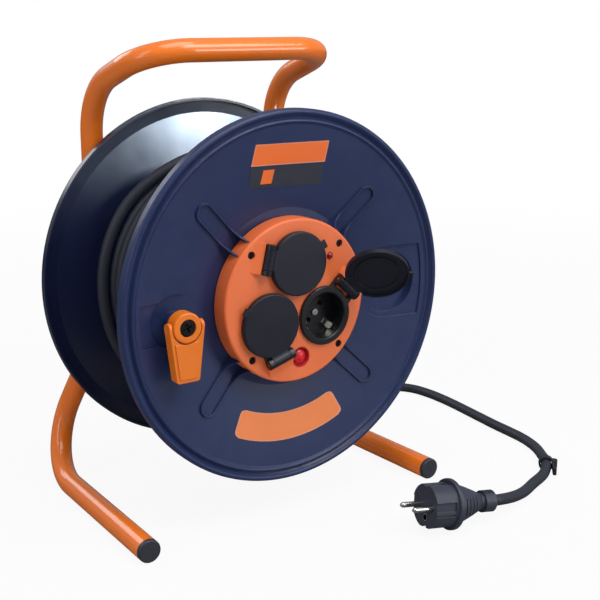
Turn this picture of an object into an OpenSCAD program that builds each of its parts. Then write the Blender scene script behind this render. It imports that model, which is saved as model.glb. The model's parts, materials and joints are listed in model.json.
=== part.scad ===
// Extension cord reel: a plastic drum that turns on a stub axle, in a stand bent from one steel tube.
// X runs to the right, Y to the rear and Z up. The drum turns about an axis along Y. Millimetres.

/* [Drum] */
// Diameter of the two flanges
flange_d = 323; // [314:1:330]
// Width of the drum over the rims of its flanges
drum_w = 160; // [156:1:170]
// Thickness of the flange webs
web_t = 3; // [2.6:0.1:3.4]
// How far each web is dished inwards between its rim and its hub
dish = 14.3; // [13.5:0.1:14.8]
// Depth of the rim of each flange
rim_depth = 9; // [7:0.5:12]
// Outer diameter of the barrel
barrel_d = 150; // [149:0.5:152]
// Wall of the barrel
barrel_wall = 3; // [2.5:0.1:3.5]

/* [Flange pressings] */
// Width of the four long loops that stand up from each flange
loop_w = 16.4; // [14:0.2:18]
// Radius at which the outer round end of a loop is centred
loop_out_r = 115.8; // [110:0.2:120]
// Height of a loop above the web
loop_h = 2; // [1.2:0.1:2.6]
// Thickness of a loop's wall
loop_wall = 1.5; // [1.2:0.1:2]
// Depth of the flat bands that run from the crank and the finger dish to the rim
band_depth = 1.5; // [1:0.1:1.8]
// Radius of the finger dish
finger_dish_r = 28; // [24:0.5:29]

/* [Cable] */
// Diameter of the cable
cable_d = 10; // [9:0.1:10]
// Layers of cable on the barrel
cable_layers = 4; // [4:1:4]
// Step from one layer to the next
layer_step = 9.3; // [9:0.1:9.5]
// Gap between the turns of the outer layer
turn_gap = 0.8; // [0.6:0.1:0.8]

/* [Stand] */
// Outer diameter of the stand's tube
tube_d = 20; // [18:0.5:22]
// Wall of the stand's tube
tube_wall = 1.5; // [1.2:0.1:2.5]
// Height of the drum's axis above the floor
axle_h = 196; // [186:1:210]
// Height of the middle of the handle bar
handle_h = 403; // [396:1:430]
// Length of the handle bar between the corners of its bends
handle_w = 188; // [180:1:192]
// Distance between the two legs
leg_gap = 196; // [190:1:204]
// Distance between the tips of the two feet
feet_gap = 300; // [290:1:310]
// Clearance between the rear flange and the legs
leg_clear = 8; // [6:0.5:12]
// How far the feet reach in front of the drum's rim, with their caps
toe_reach = 12; // [6:1:20]

/* [Axle and hub] */
// Diameter of the stub axle
axle_d = 16; // [14:0.5:17]
// Radial clearance of a turning fit
running_gap = 0.05; // [0.02:0.01:0.09]
// Outer diameter of the hub's sleeve
hub_sleeve_d = 30; // [28:0.5:34]
// Thickness of the thrust washers
washer_t = 1.5; // [1:0.1:2]

/* [Socket plate] */
// Diameter of the orange plate
plate_d = 142; // [140:1:144]
// How far the plate's face stands out in front of the drum's rim
plate_proud = 4; // [3:0.25:4.2]
// Thickness of the plate
plate_t = 3; // [2.5:0.1:4]
// Radius at which the three sockets are centred
socket_r = 33; // [32.6:0.1:33.2]
// Diameter of a socket's well
well_d = 40; // [39.5:0.1:41]
// Depth of a socket's well
well_depth = 17.5; // [17:0.1:18]
// Distance between a socket's two pin holes
pin_gap = 19; // [19:1:19]
// Diameter of a lid
lid_d = 55; // [54.4:0.1:55.4]
// How far the right lid stands open
lid_open = 133; // [126:1:146]

/* [Crank] */
// Diameter of the crank's boss
boss_d = 25; // [23:0.5:26]
// Length of the grip from its pivot to its tip
grip_len = 45; // [40:0.5:46]
// Thickness of the grip
grip_t = 9.5; // [8:0.25:10]

/* [Plug] */
// Diameter of the plug's front part
plug_d = 38.6; // [37.6:0.1:39.2]
// Diameter of the plug's collar
collar_d = 44.5; // [43:0.5:47]
// Length of a plug pin
pin_len = 19; // [18.5:0.1:19.5]
// Diameter of a plug pin
pin_d = 4.8; // [4.7:0.05:4.85]

/* [Hidden] */
$fn = 64;

// Overshoot of a cut past the face it opens
eps = 1;
// Gap between two pieces that lie against each other
seat_gap = 0.1;
// Gap between two bodies that pass each other
clear = 0.3;

// --- vectors and outlines ---
function unit(v) = v / norm(v);
function polar(r, a) = [r * cos(a), r * sin(a)];
function arc(c, r, a0, a1, n) = [for (i = [0:n]) c + polar(r, a0 + (a1 - a0) * i / n)];

// --- the stand's bent tube, from the handle's middle to the right toe ---
tube_r = tube_d / 2;
leg_y = drum_w + leg_clear + tube_r;
handle_y = 74;
handle_bend = 42;
shoulder_drop = 36;
shoulder_bend = 56;
splay_h = 145;
splay_bend = 95;
heel_in = 6;
heel_back = 42;
heel_bend = 53;
cap_t = 4;
toe = [feet_gap / 2, cap_t - toe_reach, tube_r];
heel = [feet_gap / 2 - heel_in, leg_y + heel_back, tube_r];
half_path = [[handle_w / 2, handle_y, handle_h], [leg_gap / 2, leg_y, handle_h - shoulder_drop],
    [leg_gap / 2, leg_y, splay_h], heel, toe];
half_bends = [handle_bend, shoulder_bend, splay_bend, heel_bend, 0];
function across(p) = [-p.x, p.y, p.z];
function both_sides(path) = concat([for (i = [len(path) - 1:-1:0]) across(path[i])], path);
stand_bends = concat([for (i = [len(half_bends) - 1:-1:0]) half_bends[i]], half_bends);

function turn(a, b, c) = acos(unit(b - a) * unit(c - b));
function run_in(path, bends, i) = i == 0 || i == len(path) - 1 ? 0
    : bends[i] * tan(turn(path[i - 1], path[i], path[i + 1]) / 2);

module ring_shape(r, bore) {
    difference() {
        circle(r, $fn = 48);
        if (bore > 0) circle(bore, $fn = 48);
    }
}

module rod(p, q, r, bore) {
    d = q - p;
    translate(p)
        rotate([0, acos(d.z / norm(d)), atan2(d.y, d.x)])
            linear_extrude(norm(d))
                ring_shape(r, bore);
}

module bend(a, b, c, bend_r, r, bore) {
    u = unit(b - a);
    n = unit(cross(u, unit(c - b)));
    out = cross(u, n);
    centre = b - u * bend_r * tan(turn(a, b, c) / 2) - out * bend_r;
    multmatrix([[out.x, u.x, n.x, centre.x], [out.y, u.y, n.y, centre.y],
            [out.z, u.z, n.z, centre.z], [0, 0, 0, 1]])
        rotate_extrude(angle = turn(a, b, c), $fn = 96)
            translate([bend_r, 0])
                ring_shape(r, bore);
}

// A bend's wall is a hair thinner than a straight run's, as when a tube is drawn round a former,
// and each straight run laps a little over it
bend_thinning = 0.02;
bend_lap = 0.5;
function lapped(path, bends, i) = i == 0 || i == len(path) - 1 ? 0 : run_in(path, bends, i) - bend_lap;

module bent_rod(path, bends, r, bore = 0) {
    for (i = [0:len(path) - 2]) {
        u = unit(path[i + 1] - path[i]);
        rod(path[i] + u * lapped(path, bends, i), path[i + 1] - u * lapped(path, bends, i + 1), r, bore);
    }
    for (i = [1:len(path) - 2])
        bend(path[i - 1], path[i], path[i + 1], bends[i], r - bend_thinning,
            bore > 0 ? bore + bend_thinning : 0);
}

// The rearmost point of the heel's bend
heel_u = unit(heel - half_path[2]);
heel_n = unit(cross(heel_u, unit(toe - heel)));
heel_out = cross(heel_u, heel_n);
heel_centre = heel - heel_u * run_in(half_path, half_bends, 3) - heel_out * heel_bend;
rear_y = heel_centre.y + heel_bend * norm([heel_out.y, heel_u.y]) + tube_r * norm([heel_n.y, 1 - abs(heel_n.y)]);

// --- sockets and lids, in the plate's frame: x to the right, y up, z to the front ---
socket_angles = [90, 210, 330];
hinge_turn = 77;
plate_r = plate_d / 2;
lid_r = lid_d / 2;
collar_r = lid_r - 1.5;
collar_proud = 3;
collar_top = plate_proud + collar_proud;
hinge_x = lid_r + 3.9;
knuckle_r = 4.6;
hinge_z = plate_proud + knuckle_r + clear;
knuckle_half = 8.5;
ear_t = 4.2;
ear_in = knuckle_half + clear;
ear_out = ear_in + ear_t;
hinge_pin_r = 1.25;
lid_t = 2.6;
lid_top = collar_top + clear + lid_t;
skirt_drop = 2.2;
skirt_z = collar_top - skirt_drop;
lid_edge = 1.2;

// --- the middle of the stand's length is put over the origin ---
lid_far = [hinge_x + lid_r, hinge_z - skirt_z];
front_y = -(hinge_z + lid_far.x * sin(lid_open) - lid_far.y * cos(lid_open));
mid_y = (front_y + rear_y) / 2;

module on_floor() { translate([0, -mid_y, 0]) children(); }
module on_face() { translate([0, -mid_y, axle_h]) rotate([90, 0, 0]) children(); }
module at_socket(i) {
    rotate(socket_angles[i])
        translate([socket_r, 0, 0])
            rotate(hinge_turn)
                children();
}

// --- flanges ---
flange_r = flange_d / 2;
barrel_r = barrel_d / 2;
hub_r = barrel_r + 3;
web_out_r = flange_r - 13;
web_edge = 2.2;
bead_r = 2.7;
ridge_r = 1.6;
ridge_at = flange_r - 10.2;
groove_at = flange_r - 7.2;
groove_z = -3.4;
rim_wall = 2.6;
loop_in_r = hub_r + 4;
function web_z(r) = -dish + (r - hub_r) * (dish - web_edge) / (web_out_r - hub_r);
// Section of a flange: web, inner ridge, groove and rolled bead
module flange_section(bore_r) {
    polygon(concat([[bore_r, -dish], [hub_r, -dish], [web_out_r, -web_edge]],
        arc([ridge_at, -ridge_r - 0.5], ridge_r, 150, 20, 5),
        [[groove_at, groove_z]],
        arc([flange_r - bead_r, -bead_r], bead_r, 160, 0, 7),
        [[flange_r, -rim_depth], [flange_r - rim_wall, -rim_depth],
            [flange_r - rim_wall, -bead_r - web_t], [web_out_r, -web_edge - web_t],
            [hub_r, -dish - web_t], [bore_r, -dish - web_t]]));
}

// Everything behind the front surface of the web
module behind_web(down = 0) {
    rotate_extrude($fn = 96)
        polygon([[0, -dish - down], [hub_r, -dish - down], [web_out_r, -web_edge - down], [web_out_r, -40], [0, -40]]);
}

// Everything in front of a surface that lies a little below the web's
module before_web(down, out_r) {
    rotate_extrude($fn = 96)
        polygon([[0, -dish - down], [hub_r, -dish - down], [out_r, web_z(out_r) - down], [out_r, 20], [0, 20]]);
}

module stadium(run, half) {
    circle(half);
    translate([run, 0]) circle(half);
    translate([0, -half]) square([run, 2 * half]);
}

// Top of the loops: level with the web, and climbing to the plate's edge on the front flange
loop_foot_r = plate_r + 21;
loop_peak = -1;
function loop_z(r, climbs) = web_z(max(r, hub_r)) + loop_h
    + (climbs && r < loop_foot_r ? (loop_peak - web_z(plate_r + seat_gap) - loop_h)
        * pow((loop_foot_r - r) / (loop_foot_r - plate_r - seat_gap), 2.7) : 0);

module loops(climbs) {
    from = climbs ? plate_r + seat_gap : hub_r - 10;
    low = -dish - web_t / 2;
    intersection() {
        translate([0, 0, low]) linear_extrude(dish + web_t)
            for (a = [45:90:315]) rotate(a) translate([climbs ? 50 : loop_in_r, 0]) difference() {
                stadium(loop_out_r - (climbs ? 50 : loop_in_r), loop_w / 2);
                stadium(loop_out_r - (climbs ? 50 : loop_in_r), loop_w / 2 - loop_wall);
            }
        rotate_extrude($fn = 96)
            polygon(concat([[from, low]], [for (i = [0:8]) let (r = from + (loop_foot_r - from) * i / 8) [r, loop_z(r, climbs)]],
                [[web_out_r, loop_z(web_out_r, climbs)], [web_out_r, -web_edge - web_t / 2], [hub_r, low]]));
    }
}

module flange_blank(bore_r, climbs) {
    rotate_extrude($fn = 128) flange_section(bore_r);
    loops(climbs);
}

flange_screw_r = 2;
flange_screw_at = barrel_r - 12;
flange_screw_len = 18;
flange_head_r = 4.2;
flange_head_t = 2.5;
module at_flange_screws() { for (a = [0:90:270]) rotate(a) translate([flange_screw_at, 0, 0]) children(); }

plate_bore_r = 57.5;
plate_screw_at = plate_r - 7.5;
plate_screw_r = 1.9;
plate_head_r = 3;
plate_head_t = 2;
plate_recess_r = 3.4;
plate_screw_end = -dish - web_t - 9;
plate_boss_r = 4.6;
module at_plate_screws() { for (a = [45:90:315]) rotate(a) translate([plate_screw_at, 0, 0]) children(); }

crank_at = [49.5 - flange_r, -3.5];
crank_pad_r = 22;
crank_pad_z = -10;
crank_band = 17.5;
pad_back = -14.5;
dish_wall = 2;
finger_dish_at = [flange_r - 52.5, 0];
finger_band = 33;
finger_dish_z = pad_back + dish_wall;
band_out_r = web_out_r - 4;
crank_screw_r = 4;
crank_post_r = 8.5;
crank_post_top = 3.7;

module front_flange() {
    color([0.17, 0.19, 0.31])
        on_face() difference() {
            union() {
                front_pressing();
                translate([crank_at.x, crank_at.y, pad_back])
                    cylinder(r = crank_post_r, h = crank_post_top - pad_back);
            }
            translate([crank_at.x, crank_at.y, pad_back - eps]) cylinder(r = crank_screw_r + seat_gap, h = 30);
            at_plate_screws() translate([0, 0, plate_screw_end]) cylinder(r = plate_screw_r + seat_gap, h = 40);
            at_flange_screws() translate([0, 0, -40]) cylinder(r = flange_screw_r, h = 60);
        }
}

module front_pressing() {
    difference() {
        union() {
            flange_blank(plate_bore_r, true);
            at_plate_screws() translate([0, 0, plate_screw_end - eps]) cylinder(r = plate_boss_r, h = 10 + eps);
            translate([crank_at.x, crank_at.y, pad_back]) cylinder(r = crank_pad_r, h = crank_pad_z - pad_back);
            intersection() {
                translate([finger_dish_at.x, finger_dish_at.y, pad_back])
                    cylinder(r = finger_dish_r + dish_wall, h = 20);
                behind_web();
            }
        }
        intersection() {
            before_web(band_depth, band_out_r);
            translate([0, 0, -20]) linear_extrude(30) {
                translate(finger_dish_at) circle(finger_band);
                translate([finger_dish_at.x, -finger_band]) square([60, 2 * finger_band]);
            }
        }
        intersection() {
            before_web(band_depth, band_out_r);
            translate([0, 0, crank_pad_z]) linear_extrude(30)
                translate([-flange_r, crank_at.y - crank_band])
                    square([flange_r + crank_at.x, 2 * crank_band]);
        }
        translate([crank_at.x, crank_at.y, crank_pad_z]) cylinder(r = crank_pad_r, h = 20);
        translate([finger_dish_at.x, finger_dish_at.y, finger_dish_z]) cylinder(r = finger_dish_r, h = 20);
    }
}

module rear_flange() {
    color([0.17, 0.19, 0.31])
        on_face() translate([0, 0, -drum_w]) mirror([0, 0, 1]) difference() {
            flange_blank(hub_sleeve_d / 2 + seat_gap, false);
            at_flange_screws() translate([0, 0, -40]) cylinder(r = flange_screw_r, h = 60);
        }
}

// --- barrel, hub and axle ---
barrel_front = -dish - web_t;
barrel_rear = -drum_w - barrel_front;
barrel_in_r = barrel_r - barrel_wall;
screw_post_r = 5.2;
gland_angle = 65;
gland_z = -48;
gland_r = 8;

module barrel() {
    color([0.16, 0.17, 0.22])
        on_face() difference() {
            union() {
                difference() {
                    translate([0, 0, barrel_rear]) cylinder(r = barrel_r, h = barrel_front - barrel_rear, $fn = 96);
                    translate([0, 0, barrel_rear - eps])
                        cylinder(r = barrel_in_r, h = barrel_front - barrel_rear + 2 * eps, $fn = 96);
                }
                at_flange_screws() translate([0, 0, barrel_rear]) {
                    cylinder(r = screw_post_r, h = barrel_front - barrel_rear);
                    translate([0, -1.5, 0])
                        cube([barrel_in_r - flange_screw_at + barrel_wall / 2, 3, barrel_front - barrel_rear]);
                }
            }
            at_flange_screws() {
                translate([0, 0, barrel_front - flange_screw_len]) cylinder(r = flange_screw_r, h = 60);
                translate([0, 0, barrel_rear + flange_screw_len - 60]) cylinder(r = flange_screw_r, h = 60);
            }
            rotate(gland_angle) translate([0, 0, gland_z]) rotate([0, 90, 0]) cylinder(r = gland_r, h = 100);
        }
}

axle_r = axle_d / 2;
bush_r = axle_r + running_gap;
bush_wall = 2;
bush_flange_r = bush_r + bush_wall + 3;
bush_flange_t = 2;
bush_len = 22;
axle_play = 0.2;
sleeve_rear = barrel_rear - web_t + 1;
sleeve_front = -84;
bulkhead_t = 4;
rib_t = 3;
rib_count = 8;

module hub() {
    color([0.16, 0.17, 0.22])
        on_face() difference() {
            union() {
                translate([0, 0, sleeve_rear]) cylinder(d = hub_sleeve_d, h = sleeve_front - sleeve_rear);
                translate([0, 0, sleeve_front - bulkhead_t])
                    cylinder(r = barrel_in_r - seat_gap, h = bulkhead_t, $fn = 96);
                for (i = [0:rib_count - 1])
                    rotate((i + 0.5) * 360 / rib_count)
                        translate([0, rib_t / 2, 0])
                            rotate([90, 0, 0])
                                linear_extrude(rib_t)
                                    polygon([[hub_sleeve_d / 2 - 1, sleeve_front - bulkhead_t],
                                        [barrel_in_r - 3, sleeve_front - bulkhead_t],
                                        [barrel_in_r - 3, sleeve_front - bulkhead_t - 4],
                                        [hub_sleeve_d / 2 - 1, sleeve_rear + 6]]);
            }
            translate([0, 0, sleeve_rear - eps])
                cylinder(r = bush_r + bush_wall, h = sleeve_front - sleeve_rear + 2 * eps);
            at_flange_screws() translate([0, 0, sleeve_front - bulkhead_t - eps]) {
                cylinder(r = screw_post_r + seat_gap, h = bulkhead_t + 2 * eps);
                translate([0, -1.5 - seat_gap, 0]) cube([20, 3 + 2 * seat_gap, bulkhead_t + 2 * eps]);
            }
        }
}

module bush() {
    difference() {
        union() {
            cylinder(r = bush_r + bush_wall, h = bush_len);
            translate([0, 0, -bush_flange_t]) cylinder(r = bush_flange_r, h = bush_flange_t);
        }
        translate([0, 0, -bush_flange_t - eps]) cylinder(r = bush_r, h = bush_len + bush_flange_t + 2 * eps);
    }
}

module hub_bushes() {
    color([0.85, 0.85, 0.8]) on_face() {
        translate([0, 0, sleeve_rear]) bush();
        translate([0, 0, sleeve_front]) mirror([0, 0, 1]) bush();
    }
}

rear_stop = sleeve_rear - bush_flange_t - axle_play;
front_stop = sleeve_front + bush_flange_t + axle_play;
ring_t = 1.2;
ring_depth = 1;
shoulder_r = axle_r + 5;
bracket_y = leg_y - tube_r;
bracket_t = 3;
bracket_depth = 18;
bracket_h = 40;
axle_front = front_stop + washer_t + ring_t + 3;
axle_rear = -bracket_y - bracket_t - 6;

module axle() {
    color([0.72, 0.73, 0.75])
        on_face() difference() {
            union() {
                translate([0, 0, axle_rear]) cylinder(r = axle_r, h = axle_front - axle_rear - 1);
                translate([0, 0, axle_front - 1]) cylinder(r1 = axle_r, r2 = axle_r - 1, h = 1);
                translate([0, 0, -bracket_y]) cylinder(r = shoulder_r, h = bracket_y + rear_stop - washer_t);
            }
            translate([0, 0, front_stop + washer_t])
                difference() {
                    cylinder(r = axle_r + eps, h = ring_t + seat_gap);
                    translate([0, 0, -eps]) cylinder(r = axle_r - ring_depth, h = ring_t + 3 * eps);
                }
        }
}

module washer() {
    difference() {
        cylinder(r = bush_flange_r - 0.5, h = washer_t);
        translate([0, 0, -eps]) cylinder(r = axle_r + 0.2, h = washer_t + 2 * eps);
    }
}

module thrust_washers() {
    color([0.78, 0.79, 0.8]) on_face() {
        translate([0, 0, rear_stop - washer_t]) washer();
        translate([0, 0, front_stop]) washer();
    }
}

module retaining_ring() {
    color([0.3, 0.3, 0.32])
        on_face() translate([0, 0, front_stop + washer_t])
            difference() {
                cylinder(r = axle_r + 2.4, h = ring_t);
                translate([0, 0, -eps]) cylinder(r = axle_r - ring_depth, h = ring_t + 2 * eps);
                translate([0, -2.5, -eps]) cube([20, 5, ring_t + 2 * eps]);
            }
}

module flange_screw() {
    difference() {
        union() {
            translate([0, 0, -flange_screw_len + 1]) cylinder(r = flange_screw_r, h = flange_screw_len - 1 + seat_gap);
            translate([0, 0, 0]) cylinder(r1 = flange_head_r, r2 = flange_head_r - 1, h = flange_head_t);
        }
        for (a = [0, 90]) rotate(a) translate([-2.6, -0.6, 1]) cube([5.2, 1.2, 5]);
    }
}

module flange_screws() {
    color([0.75, 0.75, 0.77]) on_face() {
        at_flange_screws() translate([0, 0, -dish]) flange_screw();
        translate([0, 0, -drum_w]) mirror([0, 0, 1]) at_flange_screws() translate([0, 0, -dish]) flange_screw();
    }
}

// --- stand ---
module tube_frame() {
    color([0.93, 0.45, 0.13])
        on_floor() bent_rod(both_sides(half_path), stand_bends, tube_r, tube_r - tube_wall);
}

module foot_cap() {
    plug_len = 12;
    u = unit(toe - heel);
    translate(toe) rotate([0, acos(u.z), atan2(u.y, u.x)]) {
        rotate_extrude()
            polygon(concat([[0, 0], [tube_r, 0], [tube_r, cap_t - 1.5]], arc([tube_r - 1.5, cap_t - 1.5], 1.5, 15, 90, 5),
                [[0, cap_t]]));
        translate([0, 0, -plug_len]) cylinder(r = tube_r - tube_wall - seat_gap, h = plug_len);
    }
}

module foot_caps() {
    color([0.12, 0.12, 0.14]) on_floor() {
        foot_cap();
        mirror([1, 0, 0]) foot_cap();
    }
}

module cross_bracket() {
    color([0.93, 0.45, 0.13])
        on_floor() difference() {
            translate([-leg_gap / 2, bracket_y, axle_h - bracket_h / 2]) cube([leg_gap, bracket_depth, bracket_h]);
            translate([-leg_gap, bracket_y + bracket_t, axle_h - bracket_h / 2 + bracket_t])
                cube([2 * leg_gap, bracket_depth, bracket_h - 2 * bracket_t]);
            for (s = [-1, 1])
                translate([s * leg_gap / 2, leg_y, axle_h - bracket_h])
                    cylinder(r = tube_r + seat_gap, h = 2 * bracket_h);
            translate([0, bracket_y - eps, axle_h]) rotate([-90, 0, 0])
                cylinder(r = axle_r + seat_gap, h = 2 * bracket_t);
            for (s = [-1, 1])
                translate([s * leg_gap / 4, bracket_y - eps, axle_h]) rotate([-90, 0, 0])
                    cylinder(r = bracket_h / 5, h = 2 * bracket_t);
        }
}

// --- the cable on the drum ---
cable_r = cable_d / 2;
layer_r = barrel_r + cable_r + (cable_layers - 1) * layer_step;
turn_pitch = cable_d + turn_gap;
winding_front = -20.5;
lane_w = 30;
layer_turns = floor((drum_w + winding_front - lane_w) / turn_pitch);
rings_per_turn = 24;
winding_rear = winding_front - layer_turns * turn_pitch;
core_front = winding_front - 1;
// The faceted turns dip a little below their layer, and the core stays under them
core_r = (layer_r - cable_r) * cos(180 / rings_per_turn) - seat_gap;
lane_edge = winding_rear - cable_r + 2;
lane_floor_r = layer_r - cable_r - 2 * layer_step;
lane_rear = barrel_rear + 6;

module winding_core() {
    color([0.15, 0.16, 0.19])
        on_face() rotate_extrude($fn = 96)
            polygon([[barrel_r, core_front], [core_r, core_front], [core_r, lane_edge],
                [lane_floor_r, lane_edge], [lane_floor_r, lane_rear], [barrel_r, lane_rear]]);
}

// A tube of flat faces swept along points, its rings square to the path
function path_dir(p, i) = i == 0 ? unit(p[1] - p[0])
    : i == len(p) - 1 ? unit(p[i] - p[i - 1])
    : unit(unit(p[i + 1] - p[i]) + unit(p[i] - p[i - 1]));
function level(n, t) = unit(n - (n * t) * t);
function normals(p, n, i = 0) = i == len(p) ? []
    : concat([level(n, path_dir(p, i))], normals(p, level(n, path_dir(p, i)), i + 1));

module swept_tube(p, r, sides, first_normal) {
    ns = normals(p, first_normal);
    points = [for (i = [0:len(p) - 1], k = [0:sides - 1])
        let (b = cross(path_dir(p, i), ns[i]), a = 360 * k / sides)
            p[i] + r * cos(a) * ns[i] + r * sin(a) * b];
    sides_of = [for (i = [0:len(p) - 2], k = [0:sides - 1], h = [0, 1])
        let (k2 = (k + 1) % sides, a = i * sides, b = (i + 1) * sides)
            h == 0 ? [a + k, b + k, b + k2] : [a + k, b + k2, a + k2]];
    last = (len(p) - 1) * sides;
    caps = concat([for (k = [1:sides - 2]) [0, k, k + 1]],
        [for (k = [1:sides - 2]) [last, last + k + 1, last + k]]);
    polyhedron(points = points, faces = concat(sides_of, caps));
}

// The outer layer of turns, with an end of one diameter at each side that stays at the layer's radius
winding_start = 60;
function helix(a) = [layer_r * cos(winding_start + a), layer_r * sin(winding_start + a),
    winding_front - turn_pitch * a / 360];
winding_end = cable_d / layer_r * 180 / PI;
winding_points = concat([helix(-winding_end)],
    [for (i = [0:layer_turns * rings_per_turn]) helix(i * 360 / rings_per_turn)],
    [helix(layer_turns * 360 + winding_end)]);
winding_gap = min([for (i = [0:len(winding_points) - 1], j = [i + rings_per_turn / 2:1:len(winding_points) - 1])
    norm(winding_points[i] - winding_points[j])]) - cable_d;

module cable_winding() {
    echo(least_gap_between_turns = winding_gap);
    color([0.18, 0.19, 0.22]) on_face() swept_tube(winding_points, cable_r, 6, [1, 0, 0]);
}

// --- cable entry, inner cable and terminals ---
terminal_size = [34, 20, 15];
terminal_at = 37;
cable_bend = 16;
gland_top = barrel_r - 0.5;

module cable_gland() {
    color([0.1, 0.1, 0.11])
        on_face() rotate(gland_angle) translate([0, 0, gland_z]) rotate([0, 90, 0]) difference() {
            union() {
                translate([0, 0, barrel_in_r - 6]) cylinder(r = gland_r - seat_gap, h = gland_top - barrel_in_r + 6);
                translate([0, 0, barrel_in_r - 8]) cylinder(r = gland_r + 2, h = 7.5, $fn = 6);
            }
            translate([0, 0, barrel_in_r - 9]) cylinder(r = cable_r + seat_gap, h = 20);
        }
}

module inner_cable() {
    top = [gland_top, 0, gland_z];
    corner = [terminal_at, 0, gland_z];
    foot = [terminal_at, 0, sleeve_front + terminal_size.z];
    color([0.18, 0.19, 0.22])
        on_face() rotate(gland_angle) bent_rod([top, corner, foot], [0, cable_bend, 0], cable_r);
}

module terminal_block() {
    color([0.88, 0.87, 0.82])
        on_face() rotate(gland_angle) difference() {
            translate([terminal_at - terminal_size.y / 2, -terminal_size.x / 2, sleeve_front])
                cube([terminal_size.y, terminal_size.x, terminal_size.z]);
            for (s = [-1, 1], w = [-1, 0, 1])
                translate([terminal_at + s * 7, w * 11, sleeve_front + terminal_size.z - 5]) cylinder(r = 2, h = 10);
        }
}

// --- socket plate ---
skirt_t = 2.5;
gasket_t = 1.2;
skirt_end = -dish + gasket_t;
plate_edge = 2.2;
plate_back = plate_proud - plate_t;
collar_hole_r = collar_r - 1.8;
ramp_h = 3.6;
ramp_run = 8.5;
reset_at = polar(50.4, 275);
reset_r = 6;
reset_travel = 2.5;
cup_r = 9;
cup_wall = 0.6;
cup_depth = 2.8;
lamp_at = polar(49.6, 45.5);
lamp_r = 3.2;

module at(p) { translate([p.x, p.y, 0]) children(); }

module socket_plate() {
    color([0.87, 0.42, 0.22])
        on_face() difference() {
            union() {
                rotate_extrude($fn = 128)
                    polygon(concat([[0, plate_back], [plate_r - skirt_t, plate_back], [plate_r - skirt_t, skirt_end],
                        [plate_r, skirt_end]],
                        arc([plate_r - plate_edge, plate_proud - plate_edge], plate_edge, 0, 90, 6),
                        [[0, plate_proud]]));
                at_plate_screws() translate([0, 0, -dish]) cylinder(r = plate_boss_r, h = dish + plate_back + 0.5);
                for (i = [0:2]) at_socket(i)
                    translate([hinge_x + knuckle_r + clear, ear_out, plate_back + 0.5])
                        rotate([90, 0, 0])
                            linear_extrude(2 * ear_out)
                                polygon([[0, 0], [ramp_run, 0], [ramp_run, plate_t - 0.4],
                                    [0, plate_t - 0.5 + ramp_h]]);
            }
            for (i = [0:2]) at_socket(i) translate([0, 0, plate_back - eps]) cylinder(r = collar_hole_r, h = 20, $fn = 96);
            at_plate_screws() {
                translate([0, 0, -20]) cylinder(r = plate_screw_r + seat_gap, h = 40);
                translate([0, 0, plate_back]) cylinder(r = plate_recess_r, h = 20);
            }
            at(reset_at) translate([0, 0, plate_back - eps]) cylinder(r = cup_r + seat_gap, h = 20);
            at(lamp_at) translate([0, 0, plate_back - eps]) cylinder(r = lamp_r, h = 20);
        }
}

module plate_gasket() {
    color([0.08, 0.08, 0.09])
        on_face() translate([0, 0, -dish]) difference() {
            cylinder(r = plate_r - 0.3, h = gasket_t, $fn = 96);
            translate([0, 0, -eps]) cylinder(r = plate_r - skirt_t - 1, h = gasket_t + 2 * eps, $fn = 96);
            at_flange_screws() translate([0, 0, -eps]) cylinder(r = flange_head_r + seat_gap, h = 10);
            at_plate_screws() translate([0, 0, -eps]) cylinder(r = plate_boss_r + seat_gap, h = 10);
        }
}

module plate_screws() {
    color([0.1, 0.1, 0.11])
        on_face() at_plate_screws() difference() {
            union() {
                translate([0, 0, plate_screw_end]) cylinder(r = plate_screw_r, h = plate_back - plate_screw_end + seat_gap);
                translate([0, 0, plate_back]) cylinder(r = plate_head_r, h = plate_head_t);
            }
            for (a = [0, 90]) rotate(a) translate([-2.2, -0.5, plate_back + 1]) cube([4.4, 1, 5]);
        }
}

// --- socket inserts, contacts and clips ---
well_r = well_d / 2;
well_floor = collar_top - well_depth;
socket_back = -38;
body_r = well_r + 3;
pin_hole_r = 2.7;
contact_r = 4;
contact_len = 16;
clip_w = 6;
clip_t = 1;
clip_slot = 1.4;
clip_top = collar_top - 3;
floor_screw_r = 1.6;
floor_head_r = 3.4;
floor_head_t = 1.8;

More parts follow.
